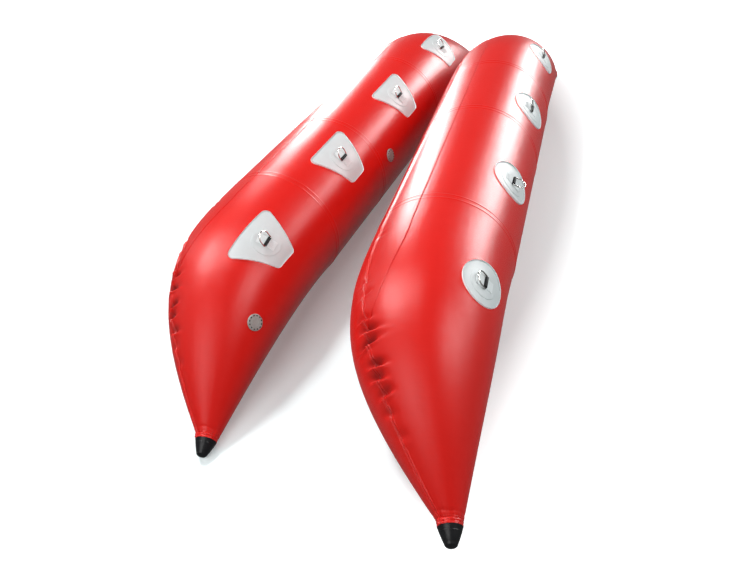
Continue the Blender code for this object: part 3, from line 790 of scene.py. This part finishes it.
# Painted shade: near-black plastic for the faces inside the wrench slots, where the deep recesses lie in shade
recess_shade = Finish("plastic_recess_painted_shade", roughness=0.7, specular_ior_level=0.2)
recess_shade_clouds = recess_shade.speckle(300.0, 3.0)
recess_shade.colour(recess_shade_clouds, (0.018, 0.018, 0.017), (0.045, 0.045, 0.042))
recess_shade.bump(recess_shade_clouds, 0.0001)

polished_steel = Finish("polished_steel", roughness=0.14, metallic=1.0)
scratches = polished_steel.speckle(420.0, 3.0)
tarnish = polished_steel.speckle(60.0, 3.0)
polished_steel.colour(tarnish, (0.52, 0.51, 0.49), (0.68, 0.67, 0.65))
polished_steel.set("Roughness", scratches * 0.16 + tarnish * 0.06 + 0.05)
polished_steel.bump(scratches, 0.00003)

floor_level = -valve_depth + valve_floor
body_corners = [
    (flange_radius - flange_edge, flange_height), (flange_radius, flange_height - flange_edge),
    (flange_radius, seat_gap), (barrel_radius, seat_gap), (barrel_radius, -valve_depth),
    (stem_radius + seat_gap, -valve_depth), (stem_radius + seat_gap, floor_level),
    (bore_radius, floor_level), (bore_radius, flange_height),
]
lid_radius = bore_radius - seat_gap
# The lid's top from its middle out, as (share of its radius, depth): a shallow dish, a flat, a groove and the rim
lid_top = [(0, 0.0012), (0.52, 0.0012), (0.58, 0), (0.80, 0), (0.83, 0.0007), (0.87, 0.0007), (0.90, 0), (1, 0.0010)]
lid_turns = lid_top + [(1, lid_thickness), (0, lid_thickness)]
lid_corners = [(lid_radius * share, lid_height - depth) for share, depth in lid_turns]
valve_body = spun("valve_body", rounded(body_corners, body_round, round_steps), valve_steps, Matrix.Identity(4))
for number in range(notch_count):
    turn = Matrix.Rotation(2 * math.pi * (number + 0.5) / notch_count, 4, "Z")
    bpy.ops.mesh.primitive_cube_add(size=1)
    notch = bpy.context.object
    size = Matrix.Diagonal((notch_length, notch_width, 2 * notch_depth, 1))
    notch.matrix_world = turn @ Matrix.Translation((notch_circle, 0, flange_height)) @ size
    cut_out(valve_body, notch)
for number in range(air_hole_count):
    turn = 2 * math.pi * number / air_hole_count
    spot = Matrix.Translation((air_hole_circle * math.cos(turn), air_hole_circle * math.sin(turn), 0))
    ends = (floor_level - 2 * valve_floor, floor_level + valve_floor)
    cut_out(valve_body, add_cylinder("air_hole", air_hole_radius, *ends, 20, spot))
valve_body.data.materials.clear()
valve_body.data.materials.append(plastic.material)
valve_body.data.materials.append(recess_shade.material)
# The walls and floors of the slots take the painted shade
for face in valve_body.data.polygons:
    deep = notch_lip < flange_height - face.center.z < notch_depth + slack
    near_circle = abs(face.center.xy.length - notch_circle) < notch_length / 2 + slack
    face.material_index = 1 if deep and near_circle else 0
valve_lid = spun("valve_lid", rounded(lid_corners, lid_round, round_steps), valve_steps, Matrix.Identity(4))
for hull, number in valve_places:
    name = f"{hull}_valve_{number}"
    body = copy_of(valve_body, name + "_moulded_body")
    body.matrix_world = valve_seat(hull, number)
    finish_mesh(body, plastic.material, 35, keep_materials=True)
    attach(body, hull + "_hull")
    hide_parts(name + "_body")
    lid = copy_of(valve_lid, name + "_screw_lid")
    lid.matrix_world = valve_seat(hull, number)
    finish_mesh(lid, plastic.material, 35)
    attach(lid, name + "_lid")
    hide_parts(name + "_lid")
    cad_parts[name + "_stem"].material_slots[0].material = plastic.material
    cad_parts[name + "_spring"].material_slots[0].material = polished_steel.material
delete(valve_body)
delete(valve_lid)

# ------------------------------------------------------------------------------
# Anchor patches: pale grey PVC cloth, cut to a rounded trapezium on one side of the tube and round on the
# other, glued on flat, with a pale sealed edge that also carries a painted highlight. A second disc and a strap
# of grey webbing, welded on top, hold the black loop that the ring hangs in.
# ------------------------------------------------------------------------------

middle_patch_station = 0.519 * half_barrel
bow_patch_station = half_barrel + 0.368 * bow_length
bow_patch_turn, bow_patch_skew = math.radians(3.1), math.radians(7.2)
patch_places = [
    (bow_patch_station, bow_patch_turn, bow_patch_skew), (middle_patch_station, 0, 0),
    (-middle_patch_station, 0, 0), (-bow_patch_station, bow_patch_turn, -bow_patch_skew),
]
inboard_angle, outboard_angle = math.radians(92.4), math.radians(81)
wide_side, narrow_side, keel_edge, deck_edge, corner_radius = 0.312, 0.118, 0.105, 0.111, 0.024
round_patch_radius, base_disc_radius = 0.097, 0.064
patch_thickness, base_disc_thickness, webbing_thickness = 0.0012, 0.0015, 0.0020
webbing_width, webbing_reach = 0.046, 0.040
wire_radius, slip_gap = 0.00275, 0.0005
patch_top = seat_gap + patch_thickness
disc_top = patch_top + base_disc_thickness
webbing_top = disc_top + webbing_thickness
bar_height = webbing_top + wire_radius + slip_gap / 2
sleeve_padding = 0.0016
sleeve_radius = wire_radius + slip_gap + webbing_thickness + sleeve_padding

grey_cloth = Finish("pale_grey_pvc", roughness=0.5, specular_ior_level=0.35)
cloth_clouds = grey_cloth.speckle(24.0, 4.0)
cloth_grain = grey_cloth.speckle(1100.0)
cloth_dirt = grey_cloth.speckle(150.0, 3.0)
cloth_stain = cloth_clouds * 0.7 + cloth_dirt * 0.3
grey_cloth.colour(cloth_stain, (0.565, 0.600, 0.604), (0.645, 0.685, 0.690))
grey_cloth.set("Roughness", cloth_clouds * 0.15 + 0.40)
grey_cloth.bump(cloth_grain * 0.7 + cloth_dirt * 0.3, 0.00012)

# The sealed edge is paler than the cloth, and lighter still as a painted highlight along the rim
sealed_edge_highlight = Finish("sealed_patch_edge_and_highlight", roughness=0.3, specular_ior_level=0.5)
seal_clouds = sealed_edge_highlight.speckle(60.0, 3.0)
sealed_edge_highlight.colour(seal_clouds, (0.880, 0.930, 0.940), (0.950, 0.990, 1.000))
sealed_edge_highlight.bump(seal_clouds, 0.0001)

grey_webbing = Finish("pale_grey_webbing", roughness=0.6, specular_ior_level=0.3)
yarn = grey_webbing.place("UV")
ribs = grey_webbing.wave(yarn, "X", 160.0, 0.6)
picks = grey_webbing.wave(yarn, "Y", 110.0, 0.6)
grey_webbing.colour(ribs * picks, (0.700, 0.740, 0.745), (0.860, 0.900, 0.905))
grey_webbing.bump(ribs * 0.6 + picks * 0.4, 0.0003)

black_sleeve = Finish("black_webbing_loop", roughness=0.6, specular_ior_level=0.15)
sleeve_yarn = black_sleeve.speckle(700.0, 3.0)
black_sleeve.colour(sleeve_yarn, (0.003, 0.003, 0.003), (0.008, 0.008, 0.009))
black_sleeve.bump(sleeve_yarn, 0.0002)


def rounded_outline(corners, radius, points):
    """The corners, listed anticlockwise, each replaced by an arc of the radius."""
    outline = []
    for number, corner in enumerate(corners):
        here = Vector(corner)
        before = (Vector(corners[number - 1]) - here).normalized()
        after = (Vector(corners[(number + 1) % len(corners)]) - here).normalized()
        half = before.angle(after) / 2
        centre = here + (before + after).normalized() * radius / math.sin(half)
        start = here + before * radius / math.tan(half) - centre
        for step in range(points):
            outline.append(tuple(centre + Matrix.Rotation((math.pi - 2 * half) * step / (points - 1), 2) @ start))
    return outline


def circle_outline(radius, points):
    turns = [2 * math.pi * number / points for number in range(points)]
    return [(radius * math.cos(turn), radius * math.sin(turn)) for turn in turns]


def flat_sheet(name, outline, low, high, rim, spacing, sealed=0.0):
    """Flat sheet of cloth between two levels, its rims rounded, cut at a spacing into a mesh that can bend.
    A sealed edge of some width takes the piece's second material."""
    bpy.ops.mesh.primitive_circle_add(vertices=len(outline), radius=1, fill_type="NGON", location=(0, 0, 0))
    sheet = bpy.context.object
    sheet.name = sheet.data.name = name
    for vert, (along, round_it) in zip(sheet.data.vertices, outline):
        vert.co = (along, round_it, low)
    edit(
        sheet,
        (bpy.ops.mesh.extrude_region_move, {"TRANSFORM_OT_translate": {"value": (0, 0, high - low)}}),
        (bpy.ops.mesh.bevel, {"offset": rim, "segments": 3, "affect": "EDGES"}),
    )
    sheet.data.materials.append(grey_cloth.material)
    sheet.data.materials.append(sealed_edge_highlight.material)
    if sealed:
        for face in sheet.data.polygons:
            face.select = face.normal.z > 0.999 and len(face.vertices) > 4
        bpy.ops.object.mode_set(mode="EDIT")
        bpy.ops.mesh.select_mode(type="FACE")
        bpy.ops.mesh.inset(thickness=sealed)
        bpy.ops.mesh.select_mode(type="VERT")
        bpy.ops.object.mode_set(mode="OBJECT")
        for face in sheet.data.polygons:
            face.material_index = 1 if len(face.vertices) == 4 else 0
    cuts = []
    for direction in (0, 1):
        reach = max(abs(spot[direction]) for spot in outline)
        for number in range(int(-reach / spacing), int(reach / spacing) + 1):
            spot, normal = [0, 0, 0], [0, 0, 0]
            spot[direction], normal[direction] = number * spacing, 1
            cuts.append((bpy.ops.mesh.select_all, {"action": "SELECT"}))
            cuts.append((bpy.ops.mesh.bisect, {"plane_co": spot, "plane_no": normal}))
    edit(sheet, *cuts)
    return sheet


def lay_on_tube(piece, place, station, angle, side, skew=0.0):
    """Bends a flat piece onto the tube. Its webbing and loop keep to the bar of the solid model's ring."""
    bar = seat_on(station, side * angle, bar_height, known_section).translation
    smooth_seat = seat_on(station, side * angle, bar_height)
    shift = (bar - smooth_seat.translation).dot(smooth_seat.col[2].to_3d())
    turn = Matrix.Rotation(skew, 2)
    for vert in piece.data.vertices:
        along, round_it = turn @ vert.co.xy
        lift = vert.co.z + shift * max(0.0, min(1.0, (vert.co.z - disc_top) / (bar_height - disc_top)))
        seat = seat_on(station + along, side * (angle + round_it / tube_radius), lift)
        vert.co = place @ seat.translation
    edit(piece, (bpy.ops.mesh.normals_make_consistent, {"inside": False}))


patch_spacing, webbing_spacing = 0.010, 0.006
patch_rim, disc_rim, webbing_rim = 0.0008, 0.0013, 0.0004
sealed_width, sunk, loop_gap, webbing_corner = 0.0062, 0.0002, 0.0030, 0.002
wide, narrow = wide_side / 2, narrow_side / 2
trapezium_corners = [(wide, keel_edge), (-wide, keel_edge), (-narrow, -deck_edge), (narrow, -deck_edge)]
patch_outlines = {
    "trapezium": rounded_outline(trapezium_corners, corner_radius, 12), "round": circle_outline(round_patch_radius, 72),
}
flat_pieces = {
    kind: flat_sheet("flat_" + kind, outline, seat_gap, patch_top, patch_rim, patch_spacing, sealed_width)
    for kind, outline in patch_outlines.items()
}
disc_outline = circle_outline(base_disc_radius, 60)
flat_pieces["disc"] = flat_sheet("flat_disc", disc_outline, patch_top - sunk, disc_top, disc_rim, patch_spacing)
half_width = webbing_width / 2
for name, low, high in (("keel_end", loop_gap, webbing_reach), ("deck_end", -webbing_reach, -loop_gap)):
    corners = [(-half_width, low), (half_width, low), (half_width, high), (-half_width, high)]
    band = rounded_outline(corners, webbing_corner, 4)
    flat_pieces[name] = flat_sheet("flat_" + name, band, disc_top - sunk, webbing_top, webbing_rim, webbing_spacing)
bpy.ops.mesh.primitive_cylinder_add(vertices=24, radius=sleeve_radius, depth=webbing_width, end_fill_type="NOTHING")
sleeve = bpy.context.object
sleeve.name = "flat_sleeve"
sleeve.matrix_world = Matrix.Translation((0, 0, bar_height)) @ Matrix.Rotation(math.pi / 2, 4, "Y")
finish_mesh(sleeve, black_sleeve.material)
wall = sleeve.modifiers.new("wall", "SOLIDIFY")
wall.thickness = webbing_thickness
wall.offset = -1
rim = sleeve.modifiers.new("rim", "BEVEL")
rim.width, rim.segments = webbing_rim, 2
apply_modifiers(sleeve)
flat_pieces["sleeve"] = sleeve

# Side of the tube, the way its angles are counted, its rings' angle, and the shape of its patches
tube_sides = (("inboard", 1, inboard_angle, "trapezium"), ("outboard", -1, outboard_angle, "round"))
for hull, place in tubes.items():
    for side_name, side, angle, shape in tube_sides:
        for number, (station, turn, skew) in enumerate(patch_places, 1):
            label = f"{hull}_{side_name}_patch_{number}"
            for kind in (shape, "disc", "keel_end", "deck_end", "sleeve"):
                piece = copy_of(flat_pieces[kind], f"{label}_{kind}")
                lay_on_tube(piece, place, station, angle + turn, side, skew if kind == "trapezium" else 0.0)
                material = black_sleeve if kind == "sleeve" else grey_webbing if kind.endswith("_end") else grey_cloth
                finish_mesh(piece, material.material, 35, keep_materials=kind == shape)
                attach(piece, hull + "_hull")
                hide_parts(label)
for piece in flat_pieces.values():
    delete(piece)

# ------------------------------------------------------------------------------
# Rings: polished stainless wire bent to a D and welded, free to swing in its webbing loop. Straps, ropes or
# a rowing frame are tied to them. The ones that are seen lean as they were left, the others hang down.
# ------------------------------------------------------------------------------

ring_inner_width, ring_reach, ring_corner = 0.050, 0.048, 0.0040
ring_lean, low_ring_lean = math.radians(60), math.radians(80)


def ring_path():
    """Centre line of the wire: a straight bar along X at Y = 0, closed by a round bow."""
    half = ring_inner_width / 2 + wire_radius
    straight = ring_reach - half
    points = [(-half + ring_corner + (2 * half - 2 * ring_corner) * n / 8, 0) for n in range(9)]
    corner_turns = [math.pi / 2 * n / 6 for n in range(1, 6)]
    for turn in corner_turns:
        points.append((half - ring_corner * (1 - math.sin(turn)), ring_corner * (1 - math.cos(turn))))
    points += [(half, ring_corner + (straight - ring_corner) * n / 4) for n in range(4)]
    for turn in (math.pi * n / 36 for n in range(37)):
        points.append((half * math.cos(turn), straight + half * math.sin(turn)))
    points += [(-half, straight - (straight - ring_corner) * n / 4) for n in range(1, 5)]
    for turn in corner_turns:
        points.append((-half + ring_corner * (1 - math.cos(turn)), ring_corner * (1 - math.sin(turn))))
    return points


curve = bpy.data.curves.new("ring_wire", "CURVE")
curve.dimensions = "3D"
curve.bevel_depth = wire_radius
curve.bevel_resolution = 4
spline = curve.splines.new("POLY")
path = ring_path()
spline.points.add(len(path) - 1)
for point, (across, out) in zip(spline.points, path):
    point.co = (across, out, 0, 1)
spline.use_cyclic_u = True
wire = bpy.data.objects.new("ring_wire", curve)
scene.collection.objects.link(wire)
select_only(wire)
bpy.ops.object.convert(target="MESH")
wire = bpy.context.object
for hull, place in tubes.items():
    for side_name, side, angle, shape in tube_sides:
        seen = (hull, side_name) in (("left", "inboard"), ("right", "outboard"))
        for number, (station, turn, skew) in enumerate(patch_places, 1):
            node = f"{hull}_{side_name}_ring_{number}"
            lean = ring_lean if seen else math.pi / 2 - tube_roll - angle - turn
            if node == "right_outboard_ring_3":
                lean = -ring_lean
            elif node == "right_outboard_ring_4":
                lean = low_ring_lean
            ring = copy_of(wire, f"{hull}_{side_name}_steel_ring_{number}")
            seat = seat_on(station, side * (angle + turn), bar_height, known_section)
            ring.matrix_world = place @ seat @ Matrix.Rotation(math.pi / 2 + side * lean, 4, "X")
            finish_mesh(ring, polished_steel.material, 60)
            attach(ring, node)
            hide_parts(node)
delete(wire)
